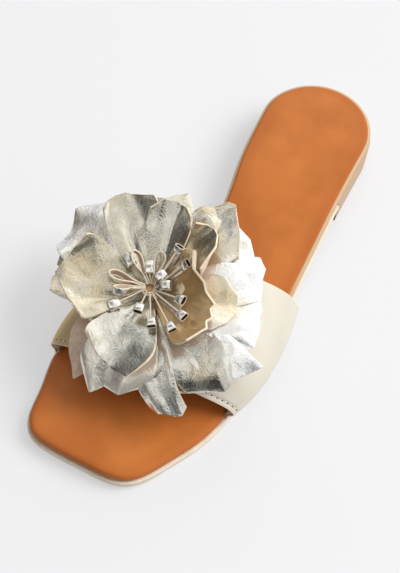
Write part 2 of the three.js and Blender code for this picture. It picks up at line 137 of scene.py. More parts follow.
# Strap: its front edge, middle and rear edge. Each side swells out over the sole by so much, at a height
# over it, and its shoulder takes a share of the way up to the crown. At its foot it has a share of the swell,
# at a share of the footbed's thickness.
STRAP_THICKNESS = 2.0
STRAP_LINING = 0.8
STRAP_LINING_GAP = 0.05
STRAP_EDGE_ROUND = 0.45
STRAP_BOW = 3
SHOULDER_OUT = 0.72
FOOT_OUT = 0.15
FOOT_UP = 0.6
StrapRow = namedtuple("StrapRow", "lateral medial crown_x crown_z")
STRAP = (
    StrapRow(187, 202, 12, 26),
    StrapRow(157, 172, 5.5, 33.5),
    StrapRow(126, 141, 4, 38.5),
)
StrapSide = namedtuple("StrapSide", "swell height shoulder")
STRAP_OUTER_SIDE = (
    StrapSide(3.0, 7, 0.64),
    StrapSide(8.0, 10, 0.64),
    StrapSide(5.5, 9, 0.64),
)
STRAP_INNER_SIDE = (
    StrapSide(1.5, 7, 0.40),
    StrapSide(3.5, 13, 0.60),
    StrapSide(6.0, 10, 0.64),
)
STRAP_LENGTH = STRAP[0].lateral - STRAP[2].lateral
# Painted shade and warm reflection: the strap turns golden between these shares of the way across, towards
# its inner side.
STRAP_WARM_REFLECTION_FROM = 0.60
STRAP_WARM_REFLECTION_TO = 0.90
STRAP_STEPS_ACROSS = 150
STRAP_STEPS_BACK = 60
LINE_STEPS = 400
LINE_STEP_BACK = 1e-3

# Stitches: a row along the strap's front edge, in a shallow trough, with a hole at the ends of each, shown by
# a small dark piece of painted shade.
STITCH_FROM_EDGE = 2.2
STITCH_PLACE = STITCH_FROM_EDGE / STRAP_LENGTH
STITCH_PITCH = 2.8
STITCH_LENGTH = 2.1
STITCH_WIDTH = 0.7
STITCH_HEIGHT = 0.5
STITCH_SLANT = 18
STITCH_HOLE = 0.8
TROUGH_DEPTH = 0.25
TROUGH_REACH = 0.8
TROUGH_SPAN = 2
TROUGH_ROWS = 13
STITCH_ENDS = 4.0
STITCH_ROWS = 7
STITCH_COLUMNS = 9

# Flower: its place on the strap, as shares of the way across and of the way back, and its leather.
FLOWER_ACROSS = 0.6125
FLOWER_BACK = 0.56
PETAL_THICKNESS = 1.0
PETAL_NECK = 0.22
PETAL_CLOSE = 0.10
PETAL_ROOT = 0.5
PETAL_OPENS = 1.25
PETAL_OPENING = 1.2
PETAL_RUFFLE = 0.6
PETAL_RUFFLES = 1.5
PETAL_EDGE_ROUND = 0.33
CREASE_WIDTH = 0.2
CREASE_REACH = 1.1
RELIEF = ((2.2, 16), (0.8, 8))
# The foil is less metallic where painted warm reflection or painted highlight is marked.
WARM_REFLECTION_SATIN = 0.55
PALE_SATIN = 0.2
PETAL_STEPS_OUT = 44
PETAL_STEPS_ACROSS = 40
Hub = namedtuple("Hub", "radius bottom top")
LOWER_HUB = Hub(8, 0, 2.2)
UPPER_HUB = Hub(6.5, 3.6, 5.0)

# Rims: how the end of a petal is cut. Each pair is a place from one edge (0) to the other (1), and the share
# of the reach that is cut off there.
RIMS = {
    "leaf": ((0, 0.10), (0.47, 0), (0.50, 0.20), (0.70, 0.30), (1, 0.36)),
    "twin": ((0, 0.23), (0.26, 0), (0.40, 0.11), (0.65, 0.07), (0.90, 0.20), (1, 0.26)),
    "tongue": ((0, 0.20), (0.06, 0.08), (0.30, 0.02), (0.70, 0), (0.88, 0.01), (1, 0.08)),
    "point": ((0, 0.28), (0.30, 0.15), (0.50, 0.09), (0.78, 0), (0.90, 0.03), (1, 0.14)),
    "spike": ((0, 0.24), (0.15, 0.13), (0.50, 0), (0.57, 0.20), (0.65, 0.15), (1, 0.22)),
    "nicks": ((0, 0.14), (0.25, 0.06), (0.36, 0), (0.55, 0.01), (0.58, 0.06), (0.80, 0.04), (1, 0.10)),
    "fork": ((0, 0.16), (0.17, 0.06), (0.35, 0.09), (0.45, 0.17), (0.66, 0), (0.82, 0.06), (1, 0.18)),
    "corner": ((0, 0.20), (0.20, 0.12), (0.42, 0.02), (0.50, 0), (0.62, 0.08), (0.75, 0.15), (1, 0.18)),
    "round": ((0, 0.20), (0.22, 0.06), (0.50, 0), (0.62, 0.03), (0.80, 0.05), (1, 0.20)),
    "spoon": ((0, 0.30), (0.15, 0.15), (0.33, 0.05), (0.50, 0), (0.68, 0.12), (0.84, 0.24), (1, 0.42)),
    "scoop": ((0, 0.28), (0.24, 0.12), (0.55, 0.04), (0.80, 0), (0.90, 0.10), (1, 0.22)),
    "dome": ((0, 0.17), (0.30, 0.07), (0.55, 0), (0.75, 0.01), (0.90, 0.05), (1, 0.14)),
    "slant": ((0, 0.45), (0.30, 0.12), (0.50, 0.02), (0.70, 0), (0.85, 0.05), (1, 0.16)),
    "jagged": (
        (0, 0.16), (0.22, 0), (0.30, 0.06), (0.37, 0.02), (0.46, 0.10), (0.53, 0.07), (0.62, 0.25),
        (0.70, 0.32), (0.80, 0.54), (1, 0.66),
    ),
}

# Petals: toward is the turn of the middle line from the inner side to the toe, in degrees. Reach and width
# are seen from above, middle and tip are heights, cup lifts both edges, twist tips one up, curl lifts the end
# and bend turns it aside. Fold is the depth of a crease and fold_at its place, from -1 at one edge to 1 at
# the other. The warm and the pale share are painted light in the foil's colour: a warm tone for the warm
# reflections and shade between petals, and a whiter tone for bright reflections. A turned petal shows its
# back.
Petal = namedtuple(
    "Petal",
    "toward reach width middle tip cup twist curl bend rim fold_at fold gold pale turned",
    defaults=(False,),
)
LOWER_PETALS = (
    Petal(64, 50.5, 26, 3.0, -2.5, 0.00, 0, 0, 12, "leaf", 0.0, 0.4, 0.0, 0, True),
    Petal(98, 52.0, 37, 6.5, 0.5, 0.05, 0, 0, 0, "twin", -0.2, 1.2, 0.3, 1),
    Petal(121, 56.0, 19, 6.6, -4.0, 0.10, 0, 0, 7, "tongue", 0.1, 0.6, 0.1, 0.3),
    Petal(147, 55.5, 36, 6.0, -3.0, 0.05, 0, 0, 0, "point", 0.1, 0.9, 0.0, 0),
    Petal(176, 60.0, 38, 4.0, -5.0, 0.05, 0, 0, 0, "spike", -0.2, 0.8, 0.0, 1),
    Petal(201, 50.0, 38, 6.0, -2.0, 0.05, 0, 0, 0, "round", 0.2, 0.8, 0.0, 1),
    Petal(229, 52.0, 42, 4.0, -1.5, 0.05, 0, 0, 0, "nicks", -0.2, 0.8, 0.0, 1),
    Petal(252, 56.5, 28, 5.0, 1.0, 0.05, 0, 3.5, 0, "point", 0.1, 0.8, 0.15, 0.3),
    Petal(278, 52.0, 34, 6.5, 5.0, 0.05, 0, 0, 0, "fork", 0.0, 1.0, 0.25, 0.1),
    Petal(306, 49.5, 38, 4.5, 5.0, 0.05, 0, 0, 0, "round", 0.0, 1.0, 0.35, 0.1),
    Petal(341, 60.0, 42, 6.5, 3.0, 0.05, 0, 0, 0, "corner", 0.1, 0.9, 0.0, 0.9),
    Petal(8, 50.0, 34, 4.5, 1.0, 0.05, 0, 1.5, 0, "nicks", -0.2, 0.9, 0.4, 0.6),
    Petal(36, 32.0, 30, 6.0, 2.0, 0.05, 0, 0, 0, "round", 0.0, 0.8, 0.35, 0),
)
UPPER_PETALS = (
    Petal(20, 44.0, 40, 10.0, 12.5, 0.20, -6, 0, 0, "spoon", 0.45, 1.8, 0.3, 0),
    Petal(98, 42.5, 33, 9.5, 9.0, 0.50, -6, 0, 0, "scoop", -0.3, 1.0, 0.05, 0),
    Petal(186, 36.0, 44, 9.5, 20.0, 0.10, 0, 0, 0, "jagged", 0.1, 0.6, 0.8, 0),
    Petal(194, 40.5, 28, 8.5, 6.5, 0.10, 0, 0, 0, "round", 0.1, 0.6, 0.25, 0.4),
    Petal(244, 38.5, 22, 9.0, 17.0, 0.20, 0, 0, 0, "slant", 0.0, 0.8, 0.1, 0.2),
    Petal(264, 44.0, 24, 9.0, 9.0, 0.10, 0, 0, 0, "round", 0.1, 0.8, 0.05, 0),
    Petal(283, 42.0, 22, 11.0, 15.0, 0.30, 4, 1.5, 0, "round", -0.1, 1.0, 0.1, 0),
    Petal(314, 48.0, 27, 10.0, 12.0, 0.30, 0, 2.5, 0, "dome", 0.3, 1.2, 0.15, 0),
)

# Stamens: narrow strips round a rolled knot. An oval is a loop: each pair is a share of its reach and half
# the space between its two sides, and roll turns it about its own length. A bulb is a strip on edge with a
# flat cup at its end: roll turns the strip at its root, pitch tips the cup up, and length is the cup's.
OVAL = ((0, 0.5), (0.35, 0.7), (0.60, 1.9), (0.85, 2.2), (1, 0.7))
Stamen = namedtuple("Stamen", "toward reach rise roll pitch form length", defaults=(4.2,))
STAMENS = tuple(Stamen(*row) for row in (
    (338, 21, 7, 20, -32, "bulb", 8),
    (325, 19, 9, 20, 0, "oval"),
    (12, 20, 7, 15, 0, "oval"),
    (40, 17, 8, 40, 0, "oval"),
    (60, 21, 6, 30, -5, "bulb", 5.5),
    (103, 15, 7, 20, -8, "bulb"),
    (127, 21, 6, 0, -4, "bulb"),
    (148, 26, 6, 0, -4, "bulb"),
    (166, 25, 7, 0, 0, "bulb"),
    (182, 20, 7, 0, 4, "bulb"),
    (236, 22, 8, 60, 22, "bulb"),
    (260, 24, 8, 60, 28, "bulb"),
    (277, 18, 9, 15, 0, "oval"),
    (300, 13, 7, 60, -30, "bulb", 6),
    (251, 11, 7, 60, -35, "bulb", 5),
    (210, 11, 6, 40, -25, "bulb", 5),
))
STAMEN_STEPS = 48
STAMEN_WIDTH = 3.6
STAMEN_THICKNESS = 0.7
STAMEN_ROOT = 2.6
STAMEN_EDGE_ROUND = 0.12
STRIP_ROWS = 4
LEG_STEPS = 24
LEG_INTO_BULB = 0.7
LEG_TAPER = 0.6
BULB_WIDTH = 4.8
BULB_HEIGHT = 3.0
BULB_WALL = 0.5
BULB_SQUARENESS = 3.2
BULB_STEPS = 40
BULB_ANGLES = np.linspace(0, 2 * np.pi, BULB_STEPS, endpoint=False)
KNOT_BOTTOM = 5.3
KNOT_TOP = 10.2
KNOT_RADIUS = 4.8
KNOT_INNER = 0.60
KNOT_NARROW = 0.85
KNOT_TURNS = 1.5
KNOT_STEPS = 90
KNOT_ROWS = 7
KNOT_FLOOR_RADIUS = 2.3
KNOT_FLOOR_DOWN = 1.4
KNOT_FLOOR_THICKNESS = 1.0

# Camera, in metres: where it stands, the line of sight that is level there, what it is then turned to, and
# its lens and sensor in millimetres.
CAMERA_AT = Vector((-0.1400, 0.3459, 0.4892))
CAMERA_SIGHT = Vector((0.304, -0.469, -0.829))
CAMERA_AIM = Vector((-0.0007, 0.1105, 0.0200))
CAMERA_LENS = 72
CAMERA_SENSOR = 36

# Light: brightness of the room by height above the horizon, from 0 to 1, in front of the shoe and behind it,
# towards the window. Patches are soft lamps and dark gaps, which fade in above the horizon.
SkyRow = namedtuple("SkyRow", "height front back")
SKY = (
    SkyRow(0.00, 0.20, 0.70),
    SkyRow(0.20, 0.15, 0.85),
    SkyRow(0.45, 0.15, 1.45),
    SkyRow(0.70, 0.28, 1.55),
    SkyRow(0.84, 0.60, 1.15),
    SkyRow(0.94, 0.72, 0.68),
    SkyRow(1.00, 0.70, 0.70),
)
PATCH_SCALE = 2.2
PATCH_FROM = 0.44
PATCH_TO = 0.56
PATCH_DARK = 0.15
PATCH_BRIGHT = 1.75
PATCHES_START = 0.2
PATCHES_FULL = 0.4
PATCH_SHARE_AT_WINDOW = 0.15
PATCH_SHIFT = Vector((0, 8, 2))
WINDOW_DIRECTION = Vector((-0.4, -0.92, 0))
WINDOW_START = -0.3
WINDOW_FULL = 0.6
TOP_LIGHT_AT = Vector((-1.5, -1.1, 1.9))
TOP_LIGHT_POWER = 62
TOP_LIGHT_SIZE = 1.6
FLOOR_CORNERS = ((-6, -6, 0), (6, -6, 0), (6, 6, 0), (-6, 6, 0))
FLOOR_COLOUR = (0.36, 0.36, 0.37, 1)
FLOOR_GLOW = 0.43

Material = namedtuple("Material", "outside rim inside")


def smooth(positions, values):
    """A smooth function through a column of a table."""
    secants = np.diff(values) / np.diff(positions)
    slopes = np.r_[secants[0], (secants[1:] + secants[:-1]) / 2, secants[-1]]

    def value(at):
        at = np.clip(at, positions[0], positions[-1])
        i = np.clip(np.searchsorted(positions, at, "right") - 1, 0, len(secants) - 1)
        step = positions[i + 1] - positions[i]
        p = (at - positions[i]) / step
        leave = values[i] * (1 + 2 * p) + slopes[i] * step * p
        arrive = values[i + 1] * (3 - 2 * p) + slopes[i + 1] * step * (p - 1)
        return leave * (1 - p) ** 2 + arrive * p**2

    return value


lateral = smooth(SECTIONS[:, 0], SECTIONS[:, 1])
medial = smooth(SECTIONS[:, 0], SECTIONS[:, 2])
seat = smooth(PROFILE[:, 0], PROFILE[:, 1])


def unit(vectors):
    return vectors / np.linalg.norm(vectors, axis=-1, keepdims=True)


def signed_power(values, power):
    return np.sign(values) * np.abs(values) ** power


def lengths_to(points):
    """The length of the polyline up to each of its points."""
    return np.r_[0, np.cumsum(np.linalg.norm(np.diff(points, axis=0), axis=1))]


def resample(points, count):
    """The polyline again, with count steps of the same length."""
    lengths = lengths_to(points)
    wanted = np.linspace(0, lengths[-1], count + 1)
    return np.column_stack([np.interp(wanted, lengths, column) for column in points.T])


def spline(points, samples=40):
    """A centripetal curve through the points, as a polyline."""
    points = np.asarray(points, float)
    ends = [2 * points[0] - points[1], *points, 2 * points[-1] - points[-2]]
    p = np.linspace(0, 1, samples, endpoint=False)[:, None]
    curve = []
    for a, b, c, d in zip(ends, ends[1:], ends[2:], ends[3:]):
        before, across, after = (np.linalg.norm(step) ** 0.5 for step in (b - a, c - b, d - c))
        leave = ((b - a) / before - (c - a) / (before + across) + (c - b) / across) * across
        arrive = ((c - b) / across - (d - b) / (across + after) + (d - c) / after) * across
        near = (b * (1 + 2 * p) + leave * p) * (1 - p) ** 2
        far = (c * (3 - 2 * p) + arrive * (p - 1)) * p**2
        curve.append(near + far)
    return np.vstack([*curve, points[-1:]])


def across_at(along):
    """The middle of the sole there and half its width."""
    return (medial(along) - lateral(along)) / 2, (medial(along) + lateral(along)) / 2


def toe_points(turns):
    """The toe's front edge from the outer corner (turn 0) to the inner one (turn 1)."""
    angle = np.pi * (1 - turns)
    middle, half = across_at(TOE_START)
    power = 2 / TOE_SQUARENESS
    share = signed_power(np.sin(angle), power)
    out = half * signed_power(np.cos(angle), power)
    taper = np.where(out < 0, TOE_TAPER_OUTER, TOE_TAPER_INNER)
    depth = LENGTH - TOE_START + TOE_SKEW * (out - half / 2)
    return np.column_stack([middle + out * (1 - taper * share), TOE_START + depth * share])


def heel_points(turns):
    """The round of the heel from the inner side (turn 0) to the outer side (turn 1)."""
    angle = np.pi * turns
    middle, half = across_at(HEEL_ROUND)
    return np.column_stack([middle + half * np.cos(angle), HEEL_ROUND * (1 - np.sin(angle))])


def sole_ring():
    """The sole's outline in four sides: outer side, toe, inner side, heel."""
    into = np.linspace(CORNER_FROM, CORNER_TO, CORNER_SAMPLES)
    out_of = 1 - into[::-1]
    end = np.linspace(CORNER_TO, 1 - CORNER_TO, END_SAMPLES)
    along = np.linspace(HEEL_ROUND, TOE_START, SIDE_SAMPLES)
    outer = np.column_stack([-lateral(along), along])
    inner = np.column_stack([medial(along), along])[::-1]
    sides = (
        np.vstack([heel_points(out_of), outer, toe_points(into)]),
        toe_points(end),
        np.vstack([toe_points(out_of), inner, heel_points(into)]),
        heel_points(end),
    )
    counts = (SIDE_STEPS, END_STEPS, SIDE_STEPS, END_STEPS)
    ring = np.vstack([resample(points, count)[:-1] for points, count in zip(sides, counts)])
    for _ in range(RING_SMOOTHINGS):
        ring = (np.roll(ring, 1, 0) + 2 * ring + np.roll(ring, -1, 0)) / 4
    return ring


SOLE = sole_ring()


def inset(amount):
    """The sole's ring moved in by an amount, one for all points or one for each."""
    tangent = unit(np.roll(SOLE, -1, 0) - np.roll(SOLE, 1, 0))
    inward = np.column_stack([tangent[:, 1], -tangent[:, 0]])
    return SOLE + inward * np.broadcast_to(amount, len(SOLE))[:, None]


def patch(ring):
    """A grid over a ring, blended from its four sides: from heel to toe and from outer to inner side."""
    outer = ring[: SIDE_STEPS + 1]
    toe = ring[SIDE_STEPS : SIDE_STEPS + END_STEPS + 1]
    inner = ring[SIDE_STEPS + END_STEPS : 2 * SIDE_STEPS + END_STEPS + 1][::-1]
    heel = np.vstack([ring[2 * SIDE_STEPS + END_STEPS :], ring[:1]])[::-1]
    u = np.linspace(0, 1, SIDE_STEPS + 1)[:, None, None]
    v = np.linspace(0, 1, END_STEPS + 1)[None, :, None]
    sides = (1 - v) * outer[:, None] + v * inner[:, None]
    ends = (1 - u) * heel[None] + u * toe[None]
    near = (1 - v) * outer[0] + v * inner[0]
    far = (1 - v) * outer[-1] + v * inner[-1]
    return sides + ends - (1 - u) * near - u * far


def grid_faces(rows, columns, start=0):
    """Quads of a grid of points, numbered row by row."""
    corner = start + np.arange(rows * columns).reshape(rows, columns)
    quads = np.stack([corner[:-1, :-1], corner[1:, :-1], corner[1:, 1:], corner[:-1, 1:]], axis=-1)
    return quads.reshape(-1, 4)


def ring_faces(rings, count):
    """Quads between closed rings of points, numbered ring by ring."""
    corner = np.arange(rings * count).reshape(rings, count)
    after = np.roll(corner, -1, 1)
    return np.stack([corner[:-1], after[:-1], after[1:], corner[1:]], axis=-1).reshape(-1, 4)


def join(parts):
    """Parts joined into one, each given by its points, its faces and the slot of each face."""
    starts = np.cumsum([0, *(len(points) for points, _, _ in parts)])
    points = np.vstack([points for points, _, _ in parts])
    faces = np.vstack([faces + start for (_, faces, _), start in zip(parts, starts)])
    return points, faces, np.concatenate([slots for _, _, slots in parts])


def add_object(name, data):
    made = bpy.data.objects.new(name, data)
    bpy.context.scene.collection.objects.link(made)
    return made


def reshape(mesh, change):
    """Makes a change to a mesh and turns its faces outwards."""
    form = bmesh.new()
    form.from_mesh(mesh)
    change(form)
    bmesh.ops.recalc_face_normals(form, faces=form.faces)
    form.to_mesh(mesh)
    form.free()


def make_object(name, points, faces, materials, slots=None):
    """A smooth mesh object from points in millimetres, with doubles joined and faces turned outwards."""
    mesh = bpy.data.meshes.new(name)
    shifted = (np.asarray(points, float) - (0, HEEL_REST, 0)) * MM
    mesh.from_pydata(shifted.tolist(), [], np.asarray(faces).tolist())
    for material in materials:
        mesh.materials.append(material)
    if slots is not None:
        mesh.polygons.foreach_set("material_index", np.asarray(slots, np.int32))
    reshape(mesh, lambda form: bmesh.ops.remove_doubles(form, verts=form.verts, dist=SAME_POINT))
    mesh.shade_smooth()
    return add_object(name, mesh)


def slab(name, layers, materials, swell=None):
    """A closed body in layers from bottom to top, each an inset of the sole's ring and its height there."""
    rings = []
    for amount, height in layers:
        flat = inset(amount)
        rings.append(np.column_stack([flat, height(flat[:, 1])]))
    count = len(SOLE)
    points = np.vstack([np.vstack([ring, ring[:1]]) for ring in rings])
    faces = [grid_faces(len(rings), count + 1)]
    for ring, (_, height), lift in ((rings[0], layers[0], None), (rings[-1], layers[-1], swell)):
        cap = patch(ring)
        cap[1:-1, 1:-1, 2] = height(cap[1:-1, 1:-1, 1])
        if lift is not None:
            cap[..., 2] += lift(cap)
        faces.append(grid_faces(SIDE_STEPS + 1, END_STEPS + 1, len(points)))
        points = np.vstack([points, cap.reshape(-1, 3)])
    return make_object(name, points, np.vstack(faces), materials)


def cut_across(piece, along, keep_front, slot):
    """Cuts a body straight across and closes the cut, which takes the material of that slot."""
    place = (0, (along - HEEL_REST) * MM, 0)
    normal = (0, -1, 0) if keep_front else (0, 1, 0)

    def cut(form):
        parts = form.verts[:] + form.edges[:] + form.faces[:]
        bmesh.ops.bisect_plane(form, geom=parts, plane_co=place, plane_no=normal, clear_outer=True)
        rim = [edge for edge in form.edges if edge.is_boundary]
        for face in bmesh.ops.edgeloop_fill(form, edges=rim)["faces"]:
            face.material_index = slot
            face.smooth = False

    reshape(piece.data, cut)


def shell(points, outer, inner):
    """A closed wall about a grid of points, so far on the side of its normal and on the other side.

    Gives its points, its faces and the slot of each face: 0 on the normal's side, 1 on the rim, 2 behind.
    """
    rows, columns = points.shape[:2]
    normal = unit(np.cross(np.gradient(points, axis=0), np.gradient(points, axis=1)))
    count = rows * columns
    top = grid_faces(rows, columns)
    bottom = grid_faces(rows, columns, count)[:, ::-1]
    corner = np.arange(count).reshape(rows, columns)
    loop = np.r_[corner[:-1, 0], corner[-1, :-1], corner[:0:-1, -1], corner[0, :0:-1]]
    after = np.roll(loop, -1)
    rim = np.column_stack([loop, loop + count, after + count, after])
    walls = np.vstack([(points + normal * outer).reshape(-1, 3), (points - normal * inner).reshape(-1, 3)])
    slots = np.repeat([0, 2, 1], [len(top), len(bottom), len(rim)])
    return walls, np.vstack([top, bottom, rim]), slots


def soften_edges(piece, width, segments=2):
    """Rounds the sharp edges of a piece."""
    bevel = piece.modifiers.new("soft_edges", "BEVEL")
    bevel.width = width * MM
    bevel.segments = segments
    bevel.limit_method = "ANGLE"
    bevel.angle_limit = math.radians(SHARP_ANGLE)
    bevel.material = 1 if len(piece.data.materials) > 1 else -1


def finish_piece(piece, slot, *nodes):
    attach(piece, "root")
    if nodes:
        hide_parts(*nodes)


def mark(piece, name, values):
    """Gives each point of a piece a value that its material reads."""
    layer = piece.data.attributes.new(name, "FLOAT", "POINT")
    layer.data.foreach_set("value", np.asarray(values, np.float32))


def roughness_of(points, size):
    """Even noise at points in millimetres, with lumps of about that size."""
    return np.array([noise.noise(Vector(p) / size) for p in points.reshape(-1, 3)]).reshape(points.shape[:-1])


# Materials

class Nodes:
    """Adds nodes to a tree and links them."""

    def __init__(self, tree):
        self.tree = tree

    def add(self, kind, *values, **inputs):
        """A new node. Values go to its sockets in order, inputs to the sockets or settings of those names."""
        node = self.tree.nodes.new("ShaderNode" + kind)
        for key, value in inputs.items():
            self.set(node, key, value)
        for socket, value in zip(node.inputs, values):
            self.feed(socket, value)
        return node

    def set(self, node, key, value):
        name = key.replace("_", " ")
        if hasattr(node, key) and name not in node.inputs:
            setattr(node, key, value)
        else:
            self.feed(node.inputs[name], value)

    def feed(self, socket, value):
        if isinstance(value, bpy.types.NodeSocket):
            self.tree.links.new(value, socket)
        else:
            socket.default_value = value

    def place(self):
        """Where a point lies in the object, in metres."""
        return self.add("TexCoord").outputs["Object"]

    def noise(self, scale, detail=3.0, roughness=0.5, at=None):
        at = at or self.place()
        made = self.add("TexNoise", Vector=at, Scale=scale, Detail=detail, Roughness=roughness)
        return made.outputs["Fac"]

    def cells(self, scale, feature="F1"):
        made = self.add("TexVoronoi", feature=feature, Vector=self.place(), Scale=scale)
        return made.outputs["Distance"]

    def ramp(self, value, *stops):
        node = self.add("ValToRGB", Fac=value)
        elements = node.color_ramp.elements
        while len(elements) < len(stops):
            elements.new(0.5)
        for element, (position, colour) in zip(elements, stops):
            element.position = position
            element.color = (*colour, 1)
        return node.outputs["Color"]

    def spread(self, value, low, high, start=0.0, end=1.0):
        """The value's stretch from start to end, turned into low to high."""
        node = self.add("MapRange", value, start, end, low, high)
        return node.outputs["Result"]

    def blend(self, share, first, second):
        node = self.add("Mix", share, data_type="RGBA")
        self.feed(node.inputs[6], first)
        self.feed(node.inputs[7], second if isinstance(second, bpy.types.NodeSocket) else (*second, 1))
        return node.outputs[2]

    def attribute(self, name):
        return self.add("Attribute", attribute_name=name).outputs["Fac"]

    def bump(self, height, strength, distance, below=None):
        node = self.add("Bump", Height=height, Strength=strength, Distance=distance * MM)
        if below is not None:
            self.feed(node.inputs["Normal"], below)
        return node.outputs["Normal"]


class Surface(Nodes):
    """The nodes of a new material."""

    def __init__(self, name):
        self.material = bpy.data.materials.new(name)
        self.material.use_nodes = True
        super().__init__(self.material.node_tree)

    def shade(self, **inputs):
        for key, value in inputs.items():
            self.set(self.tree.nodes["Principled BSDF"], key, value)
        return self.material


def two_tones(name, spots, dark, light, roughness, grain, strength, distance, **more):
    """A plain material that wanders between two tones, with a fine grain."""
    n = Surface(name)
    colour = n.ramp(n.noise(*spots), (0.3, dark), (0.7, light))
    return n.shade(
        Base_Color=colour, Roughness=roughness, Normal=n.bump(n.noise(*grain), strength, distance), **more
    )


def tan_leather():
    """Smooth tan leather, a little mottled, with a fine grain and a soft sheen; painted shade darkens its
    sides, and its top darkens towards the edge.
    """
    n = Surface("tan_leather")
    mottle = n.ramp(n.noise(34, 5), (0.35, (0.415, 0.116, 0.018)), (0.65, (0.520, 0.159, 0.031)))
    # Painted shade: darker brown on the sides, and on the top towards the edge.
    leather = n.blend(n.attribute("side_shade_edge_dark"), mottle, (0.365, 0.090, 0.012))
    colour = n.blend(n.attribute("board"), leather, (0.50, 0.36, 0.22))
    grain = n.bump(n.cells(1500), 0.12, 0.12)
    pores = n.bump(n.noise(900, 2), 0.10, 0.15, grain)
    polish = n.spread(n.noise(60, 3), 0.40, 0.56)
    coat = {"Coat_Weight": 0.05, "Coat_Roughness": 0.3}
    return n.shade(Base_Color=colour, Roughness=polish, Specular_IOR_Level=0.28, Normal=pores, **coat)


def beige_sole():
    """The outsole: a pale edge with fine level marks of the cutter."""
    n = Surface("beige_sole")
    colour = n.ramp(n.noise(150, 4), (0.3, (0.68, 0.57, 0.44)), (0.7, (0.78, 0.68, 0.55)))
    marks = n.bump(n.noise(700, 3), 0.15, 0.1)
    return n.shade(Base_Color=colour, Roughness=n.spread(n.noise(300), 0.5, 0.7), Normal=marks)


def stacked_heel():
    """Layers of sole leather: fine level lines of paler and darker taupe."""
    n = Surface("stacked_heel")
    parts = n.add("SeparateXYZ", Vector=n.place())
    drift = n.add("Math", n.noise(22, 2), 0.0012, parts.outputs["Z"], operation="MULTIPLY_ADD")
    level = n.add("CombineXYZ", Z=drift.outputs[0])
    lines = n.noise(1400, 3, 0.6, level.outputs[0])
    tone = n.ramp(lines, (0.32, (0.30, 0.185, 0.105)), (0.5, (0.44, 0.30, 0.19)), (0.7, (0.55, 0.40, 0.27)))
    polish = n.spread(n.noise(200), 0.42, 0.6)
    return n.shade(Base_Color=tone, Roughness=polish, Normal=n.bump(lines, 0.2, 0.12))


def heel_breast():
    """The front of the heel, dark brown."""
    tones = (0.13, 0.068, 0.036), (0.20, 0.11, 0.06)
    return two_tones("heel_breast", (260, 3), *tones, 0.6, (900, 3), 0.15, 0.1)


def cream_foil():
    """Smooth pale champagne leather with a metallic finish, with painted shade and warm reflection, a deeper
    gold, where it is marked so.
    """
    n = Surface("cream_metallic_leather")
    pale = n.ramp(n.noise(40, 3), (0.3, (0.64, 0.595, 0.505)), (0.7, (0.685, 0.645, 0.55)))
    # Painted shade and warm reflection: golden where marked.
    colour = n.blend(n.attribute("gold"), pale, (0.62, 0.45, 0.20))
    grain = n.bump(n.cells(1300, "SMOOTH_F1"), 0.10, 0.1)
    waves = n.bump(n.noise(90, 2), 0.08, 0.5, grain)
    polish = n.spread(n.noise(120, 2), 0.30, 0.42)
    return n.shade(Base_Color=colour, Metallic=0.4, Roughness=polish, Normal=waves)


def raw_edge():
    """The cut edge of the leather: pale cream fibres."""
    tones = (0.62, 0.52, 0.37), (0.76, 0.66, 0.50)
    return two_tones("raw_edge", (900, 3), *tones, 0.75, (2200, 2), 0.3, 0.1)


def strap_edge():
    """The strap's cut edge: smooth and pale with a rosy tone."""
    tones = (0.80, 0.61, 0.47), (0.88, 0.71, 0.57)
    return two_tones("strap_edge", (700, 2), *tones, 0.55, (1600, 2), 0.2, 0.1)


def stitch_thread():
    """Pale golden thread, twisted."""
    tones = (0.60, 0.52, 0.36), (0.74, 0.66, 0.48)
    return two_tones("stitch_thread", (1500, 2), *tones, 0.5, (2500, 2), 0.4, 0.15)


def suede_back():
    """The back of the leather: matt beige with a rosy tone and a short nap."""
    tones = (0.56, 0.41, 0.31), (0.68, 0.53, 0.42)
    return two_tones("suede_back", (500, 4), *tones, 0.85, (1800, 3), 0.3, 0.15, Sheen_Weight=0.15)


def shaded_suede():
    """Painted shade: dark brown in the stamens' cups and on the stitches' holes, where there is only shade.
    """
    tones = (0.035, 0.022, 0.014), (0.06, 0.04, 0.025)
    return two_tones("shaded_suede", (500, 3), *tones, 0.9, (1800, 3), 0.3, 0.15)


def golden_suede():
    """Golden brown leather in the flower's middle."""
    tones = (0.56, 0.34, 0.14), (0.68, 0.44, 0.20)
    return two_tones("golden_suede", (600, 3), *tones, 0.6, (1800, 3), 0.3, 0.15)


def lining_leather():
    """The strap's lining: plain pale leather."""
    n = Surface("lining_leather")
    colour = n.ramp(n.noise(120, 3), (0.3, (0.60, 0.47, 0.34)), (0.7, (0.70, 0.57, 0.43)))
    return n.shade(Base_Color=colour, Roughness=0.6, Normal=n.bump(n.cells(1400), 0.12, 0.1))


